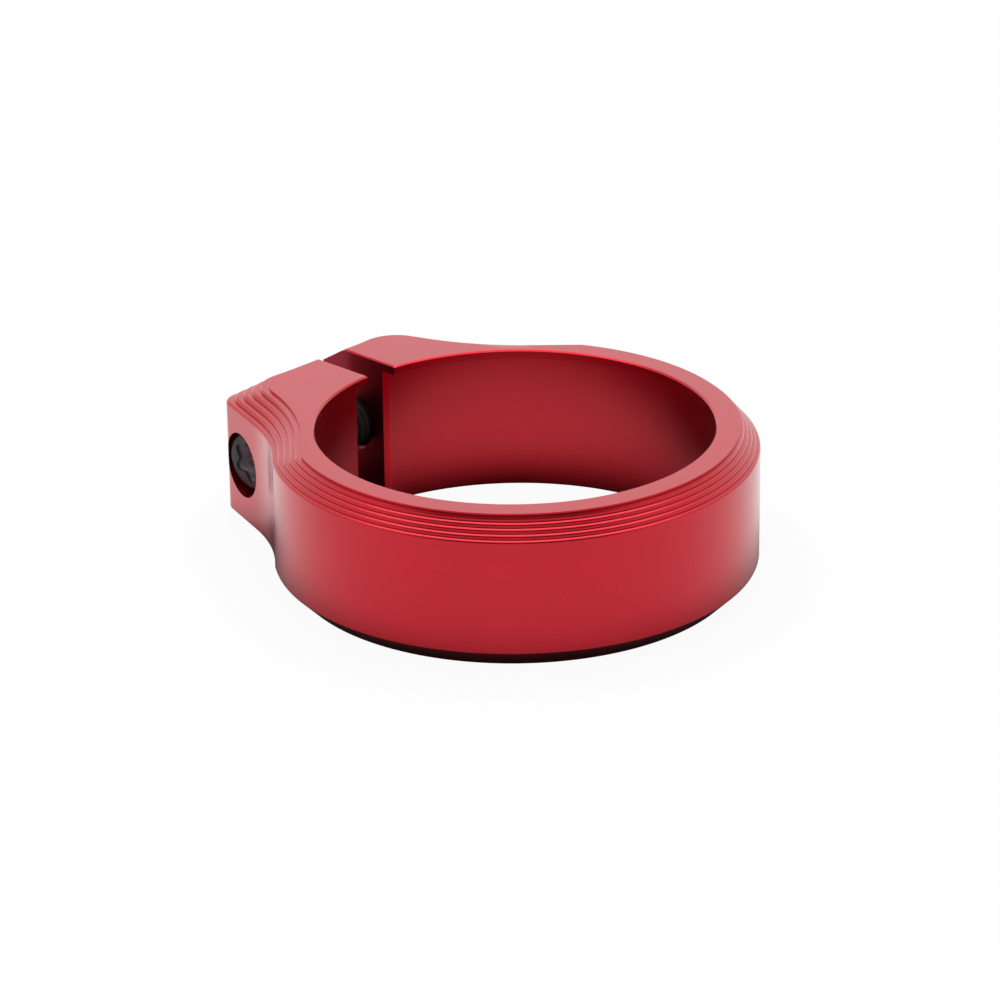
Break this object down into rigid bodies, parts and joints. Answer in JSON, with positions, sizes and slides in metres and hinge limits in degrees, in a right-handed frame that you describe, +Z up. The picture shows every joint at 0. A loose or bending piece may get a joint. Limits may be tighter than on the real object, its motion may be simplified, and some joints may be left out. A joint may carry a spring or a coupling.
{
  "type": "bicycle seatpost clamp",
  "caption": "Split seatpost collar with a stepped upper edge, an inner lip and two ears drawn together by one socket-head cap screw.",
  "frame": {"origin": "on the bore's axis, in the plane of the bottom face", "axes": "+Z up along the bore to the lip, +Y from the bore's axis to the ears, X along the screw with its head towards -X"},
  "size_m": [0.04, 0.045, 0.0129],
  "materials": {
    "collar": "red anodised over a fine satin machined surface",
    "clamp_screw": "black oxide, lightly oiled"
  },
  "bodies": {
    "collar": {"collar": "collar"},
    "screw": {"clamp_screw": "clamp_screw"}
  },
  "joints": [
    {"name": "screw_turn", "type": "hinge", "parent": "collar", "child": "screw", "pos_m": [0, 0.0215, 0.00645], "axis": [-1, 0, 0], "range_deg": [-200, 3240]}
  ]
}
